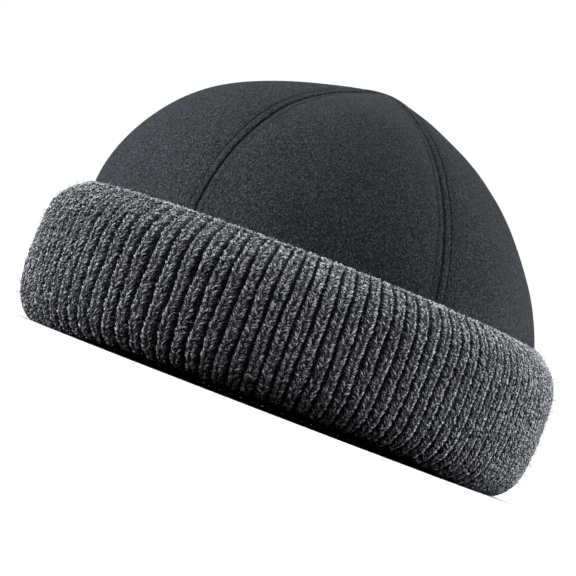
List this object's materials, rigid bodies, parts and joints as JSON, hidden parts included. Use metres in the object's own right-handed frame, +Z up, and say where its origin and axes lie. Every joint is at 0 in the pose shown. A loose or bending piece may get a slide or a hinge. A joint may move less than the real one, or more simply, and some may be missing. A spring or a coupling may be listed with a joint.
{
  "type": "fisherman beanie",
  "caption": "Short brimless cap with a dome of sewn felted wool gores over a deep folded cuff of chunky grey rib knit, hollow for a head",
  "frame": {"origin": "on the table under the middle of the hat, where it rests on its rim", "axes": "+Z up through the crown, -Y to the front of the hat, +X to the wearer's left"},
  "size_m": [0.22, 0.234, 0.1382],
  "materials": {
    "wool_cloth": "charcoal melton wool, felted nap with fine pale fibres",
    "rib_knit": "melange grey chunky rib knit in a slightly fuzzy wool yarn"
  },
  "bodies": {
    "root": {"crown_panel_1": "wool_cloth", "crown_panel_2": "wool_cloth", "crown_panel_3": "wool_cloth", "crown_panel_4": "wool_cloth", "crown_panel_5": "wool_cloth", "crown_panel_6": "wool_cloth", "knit_cuff": "rib_knit"}
  },
  "joints": []
}
